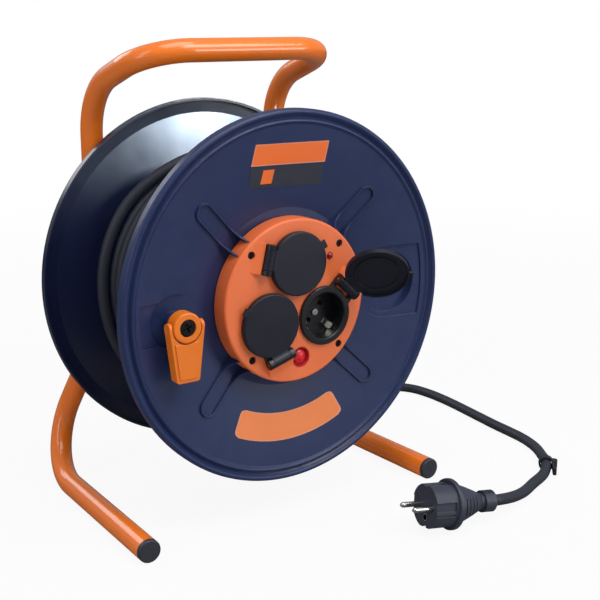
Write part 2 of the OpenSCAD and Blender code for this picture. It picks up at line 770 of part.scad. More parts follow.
module socket_insert() {
    difference() {
        union() {
            translate([0, 0, plate_proud]) cylinder(r = collar_r, h = collar_proud - 0.8, $fn = 96);
            translate([0, 0, collar_top - 0.8]) cylinder(r1 = collar_r, r2 = collar_r - 0.8, h = 0.8, $fn = 96);
            translate([0, 0, well_floor - 4])
                cylinder(r = collar_hole_r - seat_gap, h = plate_proud - well_floor + 4 + seat_gap, $fn = 96);
            translate([0, 0, socket_back]) cylinder(r = body_r, h = well_floor - socket_back);
            for (s = [-1, 1]) {
                translate([hinge_x, s * (ear_in + ear_t / 2), hinge_z])
                    rotate([90, 0, 0])
                        cylinder(r = knuckle_r, h = ear_t, center = true);
                translate([collar_r - 4, s * (ear_in + ear_t / 2) - ear_t / 2, plate_proud])
                    cube([hinge_x - collar_r + 4, ear_t, collar_proud]);
            }
        }
        translate([0, 0, well_floor]) cylinder(r = well_r, h = 40, $fn = 96);
        translate([0, 0, collar_top - 1]) cylinder(r1 = well_r, r2 = well_r + 2, h = 2, $fn = 96);
        for (s = [-1, 1]) {
            translate([s * pin_gap / 2, 0, well_floor - 2]) cylinder(r = pin_hole_r, h = 10);
            translate([s * pin_gap / 2, 0, well_floor - 2 - contact_len]) cylinder(r = contact_r, h = contact_len);
            translate([-clip_w / 2 - seat_gap, s > 0 ? 0 : -well_r - clip_slot, well_floor])
                cube([clip_w + 2 * seat_gap, well_r + clip_slot, clip_top - well_floor]);
        }
        translate([hinge_x, 0, hinge_z]) rotate([90, 0, 0]) cylinder(r = hinge_pin_r, h = 60, center = true);
        translate([0, 0, well_floor - 8]) cylinder(r = floor_screw_r + seat_gap, h = 20);
    }
}

module socket_a() { color([0.1, 0.1, 0.12]) on_face() at_socket(0) socket_insert(); }
module socket_b() { color([0.1, 0.1, 0.12]) on_face() at_socket(1) socket_insert(); }
module socket_c() { color([0.1, 0.1, 0.12]) on_face() at_socket(2) socket_insert(); }

module pin_contacts() {
    color([0.85, 0.68, 0.3])
        on_face() for (i = [0:2], s = [-1, 1]) at_socket(i)
            translate([s * pin_gap / 2, 0, well_floor - 2 - contact_len]) difference() {
                cylinder(r = contact_r - seat_gap, h = contact_len - seat_gap);
                translate([0, 0, 2]) cylinder(r = pin_d / 2 + running_gap, h = 20);
            }
}

module earth_clips() {
    color([0.85, 0.83, 0.75])
        on_face() for (i = [0:2], s = [0, 180]) at_socket(i) rotate(s)
            translate([clip_w / 2, 0, 0])
                rotate([0, -90, 0])
                    linear_extrude(clip_w)
                        polygon([[well_floor, 0.6 * well_r], [well_floor + clip_t, 0.6 * well_r],
                            [well_floor + clip_t, well_r + clip_slot - clip_t], [well_floor + 5, well_r + clip_slot - clip_t],
                            [clip_top - 6, well_r - 1.6], [clip_top - 0.5, well_r + 0.2],
                            [clip_top - 0.5, well_r + 1.2], [clip_top - 6, well_r - 0.4],
                            [well_floor + 5, well_r + clip_slot], [well_floor, well_r + clip_slot]]);
}

module socket_screws() {
    color([0.8, 0.8, 0.82])
        on_face() for (i = [0:2]) at_socket(i) difference() {
            union() {
                translate([0, 0, well_floor]) cylinder(r1 = floor_head_r, r2 = floor_head_r - 0.6, h = floor_head_t);
                translate([0, 0, well_floor - 7]) cylinder(r = floor_screw_r, h = 7 + seat_gap);
            }
            translate([-4, -0.4, well_floor + 1]) cube([8, 0.8, floor_head_t]);
        }
}

module hinge_pins() {
    color([0.75, 0.75, 0.78])
        on_face() for (i = [0:2]) at_socket(i)
            translate([hinge_x, 0, hinge_z]) rotate([90, 0, 0]) cylinder(r = hinge_pin_r, h = 2 * ear_out, center = true);
}

// --- lids ---
tab_turn = -138;
tab_w = 7;
tab_reach = 3.4;
lid_rib_h = 1.2;
lid_mark = [21.5, 10.5];

module lid_shape() {
    difference() {
        union() {
            rotate_extrude($fn = 96)
                polygon(concat([[0, lid_top - lid_t], [lid_r - 1.3, lid_top - lid_t], [lid_r - 1.3, skirt_z],
                    [lid_r, skirt_z]], arc([lid_r - lid_edge, lid_top - lid_edge], lid_edge, 0, 90, 5), [[0, lid_top]]));
            translate([hinge_x, 0, hinge_z]) rotate([90, 0, 0]) cylinder(r = knuckle_r, h = 2 * knuckle_half, center = true);
            translate([lid_r - 5, -knuckle_half, lid_top - lid_t]) cube([hinge_x - lid_r + 5, 2 * knuckle_half, lid_t]);
            rotate(tab_turn) translate([lid_r - 2, -tab_w / 2, lid_top - lid_t]) cube([tab_reach + 2, tab_w, lid_t - 0.4]);
            translate([0, 0, lid_top - lid_t - lid_rib_h]) difference() {
                cylinder(r = well_r - 0.6, h = lid_rib_h + eps);
                translate([0, 0, -eps]) cylinder(r = well_r - 1.8, h = lid_rib_h + eps);
            }
        }
        for (s = [-1, 1]) translate([lid_mark.x, s * lid_mark.y, lid_top - lid_t - eps]) cylinder(r = 1, h = eps + 0.8);
        translate([hinge_x, 0, hinge_z]) rotate([90, 0, 0])
            cylinder(r = hinge_pin_r + running_gap, h = 60, center = true);
        difference() {
            translate([lid_r - 7, -ear_out - clear, skirt_z - eps])
                cube([hinge_x, 2 * (ear_out + clear), lid_top - lid_t - skirt_z + eps]);
            translate([hinge_x, 0, hinge_z]) rotate([90, 0, 0])
                cylinder(r = knuckle_r, h = 2 * knuckle_half, center = true);
        }
        for (s = [-1, 1])
            translate([hinge_x, s * (ear_in + ear_t / 2), hinge_z]) rotate([90, 0, 0])
                cylinder(r = knuckle_r + clear, h = ear_t + 2 * clear, center = true);
    }
}

module lid_a() { color([0.12, 0.12, 0.14]) on_face() at_socket(0) lid_shape(); }
module lid_b() { color([0.12, 0.12, 0.14]) on_face() at_socket(1) lid_shape(); }
module lid_c() {
    color([0.12, 0.12, 0.14])
        on_face() at_socket(2)
            translate([hinge_x, 0, hinge_z]) rotate([0, lid_open, 0]) translate([-hinge_x, 0, -hinge_z]) lid_shape();
}

// --- thermal cut-out, its button, and the pilot lamp ---
cutout_size = [11, 22, 24];
cutout_top = -8;
button_low = plate_back - 4;
button_top = plate_proud + 0.6;

module thermal_cutout() {
    cup_floor = plate_proud - cup_depth;
    color([0.72, 0.1, 0.1])
        on_face() at(reset_at) difference() {
            union() {
                translate([0, 0, cutout_top - eps]) cylinder(r = cup_r, h = plate_proud + 0.2 - cutout_top + eps);
                rotate(275) translate([-cutout_size.x / 2, -cutout_size.y / 2, cutout_top - cutout_size.z])
                    cube(cutout_size);
            }
            translate([0, 0, cup_floor])
                cylinder(r1 = reset_r + 0.8, r2 = cup_r - cup_wall, h = cup_depth + 0.2 + eps / 10);
            translate([0, 0, button_low - reset_travel - clear]) cylinder(r = reset_r + running_gap, h = 20);
        }
}

module reset_button() {
    dome = 2.2;
    dome_r = (reset_r * reset_r + dome * dome) / (2 * dome);
    color([0.85, 0.12, 0.12])
        on_face() at(reset_at) {
            translate([0, 0, button_low]) cylinder(r = reset_r, h = button_top - dome - button_low);
            intersection() {
                translate([0, 0, button_top - dome]) cylinder(r = reset_r, h = dome + 1);
                translate([0, 0, button_top - dome_r]) sphere(dome_r);
            }
        }
}

module pilot_lamp() {
    color([0.75, 0.05, 0.08])
        on_face() at(lamp_at) {
            translate([0, 0, plate_back - 9]) cylinder(r = lamp_r - seat_gap, h = plate_proud + 0.4 - plate_back + 9);
            intersection() {
                translate([0, 0, plate_proud + 0.4]) cylinder(r = lamp_r - seat_gap, h = 4);
                translate([0, 0, plate_proud - 0.6]) sphere(lamp_r - seat_gap);
            }
        }
}

// --- crank ---
boss_r = boss_d / 2;
pivot_z = plate_proud + 1.2 + grip_t / 2;
boss_low = crank_post_top + clear;
boss_top = pivot_z + grip_t / 2 + 1.2;
boss_edge = 1.5;
head_r = 7;
head_recess = 0.5;
head_t = 4;
head_z = boss_top - head_recess - head_t;
head_edge = 1.4;
head_slot = 7.5;
trunnion_r = 2.6;
grip_ear_t = 3;
grip_top_half = boss_r + clear + grip_ear_t;
grip_tip_half = 10.5;
tip_round = 2.5;
panel_h = 0.9;

module crank_screw() {
    color([0.07, 0.07, 0.08])
        on_face() translate([crank_at.x, crank_at.y, 0]) difference() {
            union() {
                translate([0, 0, pad_back]) cylinder(r = crank_screw_r, h = head_z - pad_back + seat_gap);
                rotate_extrude()
                    polygon(concat([[0, head_z], [head_r, head_z]],
                        arc([head_r - head_edge, head_z + head_t - head_edge], head_edge, 0, 75, 4),
                        [[0, head_z + head_t]]));
            }
            for (a = [20, 110]) rotate(a)
                translate([-head_slot / 2, -0.8, head_z + head_t - 2]) cube([head_slot, 1.6, 10]);
        }
}

module crank_boss() {
    color([0.93, 0.47, 0.1])
        on_face() translate([crank_at.x, crank_at.y, 0]) difference() {
            union() {
                rotate_extrude()
                    polygon(concat([[0, boss_low], [boss_r, boss_low]],
                        arc([boss_r - boss_edge, boss_top - boss_edge], boss_edge, 0, 90, 5), [[0, boss_top]]));
                translate([0, 0, pivot_z]) rotate([0, 90, 0])
                    cylinder(r = trunnion_r, h = 2 * grip_top_half - 0.6, center = true);
            }
            translate([0, 0, boss_low - eps]) cylinder(r = crank_screw_r + running_gap, h = 60);
            translate([0, 0, head_z - clear]) cylinder(r = head_r + clear, h = 60);
        }
}

// The grip's outline, with its tip downwards and rounded
module grip_outline(half_top, half_tip, y_top, len, round) {
    lean = atan((half_top - half_tip) / len);
    polygon(concat([[-half_top, y_top], [half_top, y_top]],
        arc([half_tip - round, -len + round], round, -lean, -90, 6),
        arc([-half_tip + round, -len + round], round, -90, -180 + lean, 6)));
}

module crank_grip() {
    notch_r = boss_r + clear + 0.6;
    color([0.93, 0.47, 0.1])
        on_face() translate([crank_at.x, crank_at.y, pivot_z]) difference() {
            union() {
                translate([0, 0, -grip_t / 2]) linear_extrude(grip_t)
                    grip_outline(grip_top_half, grip_tip_half, 0, grip_len, tip_round);
                translate([0, 0, grip_t / 2 - eps]) linear_extrude(panel_h + eps)
                    grip_outline(grip_top_half - 4.5, grip_tip_half - 2.5, -notch_r + 1, grip_len - 3, tip_round - 1);
                for (s = [-1, 1])
                    translate([s * (grip_top_half - grip_ear_t / 2), 0, 0]) rotate([0, 90, 0])
                        cylinder(r = grip_t / 2, h = grip_ear_t, center = true);
            }
            translate([0, 0, -grip_t]) cylinder(r = notch_r, h = 2 * grip_t);
            translate([-boss_r - clear, 0, -grip_t]) cube([2 * (boss_r + clear), 30, 2 * grip_t]);
            rotate([0, 90, 0]) cylinder(r = trunnion_r + running_gap, h = 100, center = true);
        }
}

// --- plug, in a frame with z from its face towards the cable ---
plug_face = [68, -98, 25.2];
plug_turn = -8.7;
plug_dip = 7;
plug_roll = -8;
front_len = 22;
collar_t = 5;
cone_len = 28;
relief_len = 17;
plug_len = front_len + collar_t + cone_len + relief_len;
cone_base_r = 18;
cone_tip_r = 7.6;
function cone_r(s) = cone_base_r - (cone_base_r - cone_tip_r) * pow(s, 1.25);
relief_r = 7.4;
relief_end_r = 9.6;
earth_w = 5;
earth_depth = 3.4;
earth_hole = [9.5, 0];
earth_hole_r = 3.4;
side_w = 12;
side_depth = 1.8;
pin_root_r = 2;
pin_root_len = 9;
pin_relief = 1;

module at_plug() {
    on_floor() translate(plug_face) rotate([0, 90 + plug_dip, plug_turn]) rotate(plug_roll) children();
}
function plug_point(z) = plug_face + z * [cos(plug_dip) * cos(plug_turn), cos(plug_dip) * sin(plug_turn), -sin(plug_dip)];

module plug_body() {
    flat_at = plug_d / 2 - 1.2;
    color([0.16, 0.17, 0.2])
        at_plug() difference() {
            union() {
                intersection() {
                    cylinder(d = plug_d, h = front_len + 0.1);
                    translate([-flat_at, -plug_d, -eps]) cube([2 * flat_at, 2 * plug_d, 2 * front_len]);
                }
                rotate_extrude()
                    polygon(concat([[0, front_len], [collar_d / 2 - 1.5, front_len]],
                        arc([collar_d / 2 - 1.5, front_len + 1.5], 1.5, -90, 0, 4),
                        arc([collar_d / 2 - 1.5, front_len + collar_t - 1.5], 1.5, 0, 90, 4),
                        [for (i = [0:6]) [cone_r(i / 6), front_len + collar_t + cone_len * i / 6]],
                        [[0, front_len + collar_t + cone_len]]));
            }
            for (s = [-1, 1]) {
                translate([0, s * pin_gap / 2, -eps]) cylinder(r = pin_root_r + seat_gap, h = pin_root_len + eps);
                translate([0, s * pin_gap / 2, -eps]) cylinder(d = pin_d + 2 * seat_gap, h = pin_relief + eps);
                translate([s > 0 ? plug_d / 2 - earth_depth : -plug_d / 2, -earth_w / 2, -eps])
                    cube([earth_depth, earth_w, front_len - 3 + eps]);
                difference() {
                    translate([-side_w / 2, s > 0 ? plug_d / 2 - side_depth : -plug_d / 2 - eps, -eps])
                        cube([side_w, side_depth + eps, front_len - 2 + eps]);
                    translate([1.5, -plug_d / 2 + 0.8, -2 * eps]) cube([3, plug_d - 1.6, front_len + eps]);
                }
            }
            translate([earth_hole.x, earth_hole.y, -eps]) cylinder(r = earth_hole_r, h = 17 + eps);
            intersection() {
                for (i = [1:4]) let (z = i / 6)
                    translate([0, 0, front_len + collar_t + cone_len * z]) difference() {
                        cylinder(r = cone_r(z) + 2, h = 1.1);
                        translate([0, 0, -eps]) cylinder(r = cone_r(z) - 1.2, h = 1.1 + 2 * eps);
                    }
                translate([-7.5, -30, 0]) cube([15, 60, plug_len]);
            }
        }
}

module plug_pins() {
    color([0.8, 0.8, 0.82])
        at_plug() for (s = [-1, 1]) translate([0, s * pin_gap / 2, 0]) {
            translate([0, 0, -pin_len + pin_d / 2]) cylinder(d = pin_d, h = pin_len - pin_d / 2);
            translate([0, 0, -seat_gap]) cylinder(r = pin_root_r, h = pin_root_len + seat_gap);
            translate([0, 0, -pin_len + 1.2]) cylinder(r1 = pin_d / 2 - 0.6, r2 = pin_d / 2, h = pin_d / 2 - 1.2);
            translate([0, 0, -pin_len]) cylinder(r1 = pin_d / 2 - 1.6, r2 = pin_d / 2 - 0.6, h = 1.2);
        }
}

module plug_earth_strip() {
    color([0.8, 0.8, 0.8])
        at_plug() {
            for (s = [-1, 1])
                translate([s * (plug_d / 2 - earth_depth + 0.6) - 0.5, -earth_w / 2 + seat_gap, 0.5])
                    cube([1, earth_w - 2 * seat_gap, front_len - 3.5 - seat_gap]);
            translate([earth_hole.x, earth_hole.y, 0.3]) difference() {
                cylinder(r = earth_hole_r - seat_gap, h = 16);
                translate([0, 0, -eps]) cylinder(r = earth_hole_r - 0.9, h = 16);
            }
        }
}

module plug_strain_relief() {
    from = front_len + collar_t + cone_len;
    neck_len = 3;
    end_len = 3;
    color([0.16, 0.17, 0.2])
        at_plug() translate([0, 0, from]) difference() {
            union() {
                cylinder(r = relief_r, h = neck_len + 1);
                translate([0, 0, neck_len]) cylinder(r = relief_end_r, h = relief_len - neck_len - end_len);
                translate([0, 0, relief_len - end_len]) cylinder(r1 = relief_end_r, r2 = relief_end_r - 3, h = end_len);
            }
            for (i = [0:2], a = [0, 180])
                rotate(a) translate([relief_end_r - 1.8, -10, neck_len + 1.6 + i * 3]) cube([10, 20, 1.3]);
        }
}

// --- the free lead: it leaves the outer layer, comes down beside the drum and lies on the floor ---
lead_sides = 10;
lead_r = cable_r;
wrap_step = 12;
wrap_gap = 0.15;
top_r = (layer_r + cable_d + wrap_gap) / cos(wrap_step / 2);
// Angle seen from the front, distance behind the front rim, distance from the drum's axis
wrap_y = [[310, 138.2], [298, 138.3], [286, 139.3], [274, 139.8], [262, 139.5], [250, 136.5], [238, 132], [214, 126.5], [190, 123.5],
    [160, 125], [142, 124], [130, 119], [112, 110], [94, 104], [70, 100], [46, 98], [22, 98]];
wrap_r = [[310, 91], [298, 93.5], [286, 99], [274, 106], [262, 113], [250, top_r - 2], [238, top_r], [22, top_r]];
wrap_from = 310;
wrap_to = 22;
function wrap_point(a) = let (r = lookup(a, wrap_r)) [r * cos(a), lookup(a, wrap_y), axle_h + r * sin(a)];
floor_z = lead_r + 0.2;
strap_lift = 2.4;
lead_down = [[123, 98, 215], [136, 101, 190], [150, 107, 163], [164, 117, 137], [178, 130, 111], [192, 146, 86],
    [206, 165, 61], [220, 184, 38], [235, 201, 20]];
lead_floor = [[252, 213, 9], [272, 217, floor_z], [291, 208, floor_z], [303, 191, floor_z], [307, 168, floor_z],
    [307, 144, floor_z], [305, 120, floor_z], [302, 96, floor_z], [299, 72, floor_z], [296, 48, floor_z],
    [294, 24, floor_z], [291, 1, floor_z], [284, -21, floor_z], [272, -41, floor_z + 1]];
strap_at = [257, -61, floor_z + strap_lift];
lead_in = [[238, -76, floor_z + 1], [214, -85, floor_z], [190, -96, floor_z + 1.5], [167, -104, 10.5]];
lead_route = concat([for (a = [wrap_from:-wrap_step:wrap_to]) wrap_point(a)],
    lead_down, lead_floor, [strap_at], lead_in, [plug_point(plug_len + 5), plug_point(plug_len)]);

module free_lead() {
    color([0.18, 0.19, 0.22]) on_floor() swept_tube(lead_route, lead_r, lead_sides, [0, 1, 0]);
}

module lead_strap() {
    strap_w = 6;
    strap_t = 1.8;
    strap_gap = 0.45;
    tail_len = 20;
    out = lead_r + strap_gap;
    dir = unit(lead_in[0] - lead_floor[len(lead_floor) - 1]);
    color([0.07, 0.07, 0.08])
        on_floor() translate(strap_at) rotate([0, 90, atan2(dir.y, dir.x)]) difference() {
            union() {
                cylinder(r = out + strap_t, h = strap_w, center = true);
                translate([0, out + strap_t, 0]) rotate([0, 90, 0]) cylinder(d = strap_w + 1, h = 8, center = true);
                translate([-3.5, out, 0]) cube([7, strap_t, tail_len]);
                translate([0, out + strap_t, tail_len]) rotate([0, 90, 0]) cylinder(r = strap_t, h = 7, center = true);
            }
            cylinder(r = out, h = 60, center = true);
        }
}

tube_frame();
foot_caps();
cross_bracket();
axle();
thrust_washers();
retaining_ring();
rear_flange();
front_flange();
barrel();
hub();
hub_bushes();
flange_screws();
winding_core();
cable_winding();
cable_gland();
inner_cable();
terminal_block();
socket_plate();
plate_gasket();
plate_screws();
socket_a();
socket_b();
socket_c();
pin_contacts();
earth_clips();
socket_screws();
hinge_pins();
lid_a();
lid_b();
lid_c();
thermal_cutout();
reset_button();
pilot_lamp();
crank_screw();
crank_boss();
crank_grip();
free_lead();
lead_strap();
plug_body();
plug_pins();
plug_earth_strip();
plug_strain_relief();
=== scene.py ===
# %% [markdown]
# # An extension cord reel
# A plastic drum full of rubber cable turns on a stand that is bent from one steel tube. The solid pieces
# come from the engineering model at their real size, so this lesson never moves or resizes them. It adds
# what a solid model leaves out: finishes, smooth cable, printed labels, softened edges, light and a camera.

# %% Load the solid model
import json
import math

import bpy
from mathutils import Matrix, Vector
from mathutils.bvhtree import BVHTree


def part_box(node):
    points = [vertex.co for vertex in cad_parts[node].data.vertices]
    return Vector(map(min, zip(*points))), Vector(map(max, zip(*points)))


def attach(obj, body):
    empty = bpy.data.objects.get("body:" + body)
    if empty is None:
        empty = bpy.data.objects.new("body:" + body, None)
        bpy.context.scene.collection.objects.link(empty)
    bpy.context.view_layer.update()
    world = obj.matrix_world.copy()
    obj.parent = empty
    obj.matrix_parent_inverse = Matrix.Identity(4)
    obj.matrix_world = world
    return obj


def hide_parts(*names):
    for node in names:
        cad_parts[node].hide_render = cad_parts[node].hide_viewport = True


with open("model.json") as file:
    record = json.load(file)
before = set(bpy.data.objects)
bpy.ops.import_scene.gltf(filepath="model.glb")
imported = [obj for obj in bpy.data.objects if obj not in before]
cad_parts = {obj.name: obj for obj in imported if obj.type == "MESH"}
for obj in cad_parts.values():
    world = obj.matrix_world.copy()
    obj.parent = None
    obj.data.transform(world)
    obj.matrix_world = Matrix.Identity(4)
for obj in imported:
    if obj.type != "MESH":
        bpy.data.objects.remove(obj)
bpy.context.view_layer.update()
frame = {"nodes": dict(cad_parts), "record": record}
nodes = frame["nodes"]


# %% [markdown]
# ## Places on the drum
# Nearly everything of interest sits on the drum's round front. It is easiest to measure there in
# millimetres from the drum's axis: x to the right, y up, and z out towards us from the rim's front plane.
# The post for the crank stands a little in front of the rim, so its height is taken off the flange's box.
# One small function turns such a place into a place in the scene, in metres. A second one does the same
# for the cable, which leaves the drum and is easier to follow by its height above the floor.

# %% The drum's own measures
MM = 0.001
flange_low, flange_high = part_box("front_flange")
crank_post_height = 3.7
rim_front = flange_low.y + crank_post_height * MM
axle_height = (flange_low.z + flange_high.z) / 2


def face(x, y, z):
    """A place measured from the drum's axis and the rim's front plane, in millimetres."""
    return Vector((x * MM, rim_front - z * MM, axle_height + y * MM))


def behind(x, y, z):
    """A place x to the right, y behind the rim's front plane and z above the floor, in millimetres."""
    return Vector((x * MM, rim_front + y * MM, z * MM))


print("rim front at y", round(rim_front, 4), "axis at z", round(axle_height, 4))

# %% [markdown]
# ## The camera
# A long lens from a little above and to the left shows the front flange nearly square on, and still
# looks in between the two flanges. The camera could be placed by its coordinates, but an angle round the
# drum and a distance are easier to picture, because that is how one walks round a thing with a camera in
# hand. It is aimed a touch to one side of the axis.

# %% Place and aim the camera
camera_azimuth = -34.70
camera_elevation = 14.13
camera_distance = 0.9564
aim_azimuth = -35.02
aim_elevation = 14.12
focal_length = 67.38
sensor_width = 36
scene_collection = bpy.context.scene.collection


def outward(azimuth, elevation):
    """The direction out from the drum at an angle round it and an angle up, in degrees."""
    a = math.radians(azimuth)
    e = math.radians(elevation)
    return Vector((math.sin(a) * math.cos(e), -math.cos(a) * math.cos(e), math.sin(e)))


camera_data = bpy.data.cameras.new("camera")
camera_data.lens = focal_length
camera_data.sensor_width = sensor_width
camera = bpy.data.objects.new("camera", camera_data)
scene_collection.objects.link(camera)
camera.location = face(0, 0, 0) + camera_distance * outward(camera_azimuth, camera_elevation)
camera.rotation_mode = "QUATERNION"
camera.rotation_quaternion = (-outward(aim_azimuth, aim_elevation)).to_track_quat("-Z", "Y")
bpy.context.scene.camera = camera
print("camera at", tuple(round(x, 3) for x in camera.location))

# %% [markdown]
# ## The free lead
# The free end of the cable leaves the winding over the top, drops behind the drum's right edge and lies
# on the floor until it reaches the plug. It is easiest to give its way in three stretches: round the
# drum by angle, radius and depth, then down to the floor, and then along the floor as listed points. The
# first stretch needs two short tables, one for the depth and one for the radius.

# %% Way of the lead round the drum
cable_radius = 5 * MM
layer_radius = 107.9
top_turn_radius = 118.7
wrap_depth = [(310, 138.2), (298, 138.3), (286, 139.3), (274, 139.8), (262, 139.5), (250, 136.5),
              (238, 132), (214, 126.5), (190, 123.5), (160, 125), (142, 124), (130, 119), (112, 110),
              (94, 104), (70, 100), (46, 98), (22, 98)]
wrap_radius = [(310, 91), (298, 93.5), (286, 99), (274, 106), (262, 113), (250, top_turn_radius - 2),
               (238, top_turn_radius), (22, top_turn_radius)]
wrap_from = 310
wrap_to = 22
wrap_step = 12


def between(table, at):
    """Reads a table of (angle, value) pairs, which runs from large angles to small ones."""
    for (a0, v0), (a1, v1) in zip(table, table[1:]):
        if a0 >= at >= a1:
            return v0 + (v1 - v0) * (a0 - at) / (a0 - a1)
    return table[-1][1]


def wrap_point(angle):
    """The lead's place at an angle round the drum, in degrees."""
    r = between(wrap_radius, angle)
    a = math.radians(angle)
    return face(r * math.cos(a), r * math.sin(a), -between(wrap_depth, angle))


lead_round = [wrap_point(angle) for angle in range(wrap_from, wrap_to - 1, -wrap_step)]
print("lead round the drum:", len(lead_round), "points")

# %% [markdown]
# Where the lead lies on the floor, its middle is a little more than its radius above it. The plug lies
# there too, turned a little and tipped down on its round body, so the lead reaches it from behind along
# that slanted line. The last two points lie on the line, which makes the cable go into the plug straight.

# %% Way of the lead to the plug
lying = 5.2
lead_down = [(123, 98, 215), (136, 101, 190), (150, 107, 163), (164, 117, 137), (178, 130, 111),
             (192, 146, 86), (206, 165, 61), (220, 184, 38), (235, 201, 20)]
lead_floor = [(252, 213, 9), (272, 217, lying), (291, 208, lying), (303, 191, lying), (307, 168, lying),
              (307, 144, lying), (305, 120, lying), (302, 96, lying), (299, 72, lying), (296, 48, lying),
              (294, 24, lying), (291, 1, lying), (284, -21, lying), (272, -41, lying + 1)]
strap_at = (257, -61, lying + 2.4)
lead_in = [(238, -76, lying + 1), (214, -85, lying), (190, -96, lying + 1.5), (167, -104, 10.5)]
plug_face = behind(68, -98, 25.2)
plug_turn = math.radians(-8.7)
plug_dip = math.radians(7)
plug_length = 72
straight_run = 5
plug_axis = Vector((math.cos(plug_dip) * math.cos(plug_turn), math.cos(plug_dip) * math.sin(plug_turn),
                    -math.sin(plug_dip)))
lead_points = [*lead_round, *(behind(*p) for p in (*lead_down, *lead_floor, strap_at, *lead_in))]
lead_points += [plug_face + plug_axis * along * MM for along in (plug_length + straight_run, plug_length)]
print("lead in all:", len(lead_points), "points")

# %% [markdown]
# A cable never kinks, so the few points need a smooth line through them. A Catmull-Rom spline gives one,
# because it passes through every point it is given, where a Bezier curve would need handles to be set.

# %% Smooth the lead
spline_steps = 4


def catmull_rom(points, steps):
    """Points on a smooth curve through all the points given."""
    ends = [2 * points[0] - points[1], *points, 2 * points[-1] - points[-2]]
    smooth = []
    for a, b, c, d in zip(ends, ends[1:], ends[2:], ends[3:]):
        for k in range(steps):
            t = k / steps
            smooth.append(0.5 * (2 * b + (c - a) * t + (2 * a - 5 * b + 4 * c - d) * t * t
                                 + (3 * b - a - 3 * c + d) * t * t * t))
    return smooth + [points[-1]]


lead_curve = catmull_rom(lead_points, spline_steps)

# %% [markdown]
# A tube along a list of points is needed for the lead and for the winding, so it gets a helper. Poly
# splines keep the points exactly where they are, and the bevel gives them a round section. The finished
# curve is turned into a mesh, because a mesh has a definite size that can be measured.

# %% Draw the lead
def tube(name, points, radius, body, roundness=8):
    """A round tube along the points, as a mesh that moves with a body."""
    curve = bpy.data.curves.new(name, "CURVE")
    curve.dimensions = "3D"
    curve.bevel_depth = radius
    curve.bevel_resolution = roundness
    curve.use_fill_caps = True
    spline = curve.splines.new("POLY")
    spline.points.add(len(points) - 1)
    for spot, point in zip(spline.points, points):
        spot.co = (*point, 1)
    spline.use_smooth = True
    route = bpy.data.objects.new(name + "_route", curve)
    scene_collection.objects.link(route)
    drawn = route.evaluated_get(bpy.context.evaluated_depsgraph_get())
    piece = bpy.data.objects.new(name, bpy.data.meshes.new_from_object(drawn))
    bpy.data.objects.remove(route)
    scene_collection.objects.link(piece)
    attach(piece, body)
    return piece


lead = tube("lead", lead_curve, cable_radius, "frame")
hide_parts("free_lead")
print("lead drawn with", len(lead.data.polygons), "faces")

# %% [markdown]
# ## The winding
# The outer layer of cable is one long helix. Machine-wound turns would lie perfectly even, but a reel
# that someone has used never does, so each turn wanders by a fraction of a millimetre. Random numbers
# could do that, but a sum of two sine waves never jumps and gives the same result on every run. At both
# ends the cable runs on for one more diameter.

# %% Draw the winding
turns = 10
turn_pitch = 10.8
first_turn = 20.5
winding_start = 60
steps_per_turn = 60
wander = 0.25
wander_outward = 0.4
slow_wave = 0.63
fast_wave = 1.37
wave_shift = 40


def winding_point(step):
    """The winding's place after a number of steps along it."""
    angle = 360 * step / steps_per_turn
    slow = math.sin(math.radians(slow_wave * angle))
    fast = math.sin(math.radians(fast_wave * angle + wave_shift))
    sway = wander * (slow + fast) / 2
    a = math.radians(winding_start + angle)
    r = layer_radius + wander_outward * sway
    return face(r * math.cos(a), r * math.sin(a), -(first_turn + turn_pitch * angle / 360 + sway))


end_steps = steps_per_turn * 2 * cable_radius / (2 * math.pi * layer_radius * MM)
last_step = turns * steps_per_turn
winding_curve = [winding_point(step) for step in (-end_steps, *range(last_step + 1), last_step + end_steps)]
winding = tube("winding", winding_curve, cable_radius, "drum", roundness=6)
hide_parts("cable_winding")
print("winding", turns, "turns")

# %% [markdown]
# ## The wall of the crank's room
# The crank lies over a round room in the front flange. The flange is a cone, so on the side of the rim it
# stands higher than the room's floor, and a low curved wall closes the step between the two. From the
# front the crank hides it, but it shows from behind, between the flanges. A boolean could cut it from a
# ring, but a strip built section by section has clean faces. Its upper edge has to follow the cone, so a
# ray is sent at the flange from behind for each corner, and the corner stops just where the ray meets the
# plastic. A tree of the flange's faces answers such rays quickly.

# %% Section of the wall
room_at = (-112, -3.5)
room_radius = 22.05
room_wall = 1.6
wall_foot = -13
wall_gap = 0.02
ray_run_up = 2
flange = nodes["front_flange"]
flange_tree = BVHTree.FromPolygons([flange.matrix_world @ v.co for v in flange.data.vertices],
                                   [tuple(p.vertices) for p in flange.data.polygons])


def under_flange(x, y):
    """The place on the back of the flange at (x, y), a hair's breadth behind it."""
    hit = flange_tree.ray_cast(face(x, y, wall_foot - ray_run_up), Vector((0, -1, 0)))[0]
    return hit + Vector((0, wall_gap * MM, 0))


def wall_section(angle):
    """The wall's corners at an angle round the room: inner foot, outer foot, outer top, inner top."""
    a = math.radians(angle)
    inner, outer = ((room_at[0] + r * math.cos(a), room_at[1] + r * math.sin(a))
                    for r in (room_radius, room_radius + room_wall))
    return [face(*inner, wall_foot), face(*outer, wall_foot), under_flange(*outer), under_flange(*inner)]


inner_foot, _, _, inner_top = wall_section(180)
wall_height = (inner_top - inner_foot).length
print("wall", round(wall_height / MM, 2), "mm high in the middle")

# %% [markdown]
# Sections side by side, joined by faces and closed at both ends, make the strip. The room's outer side
# is at 180 degrees, and the wall reaches the same way round from there on both sides.

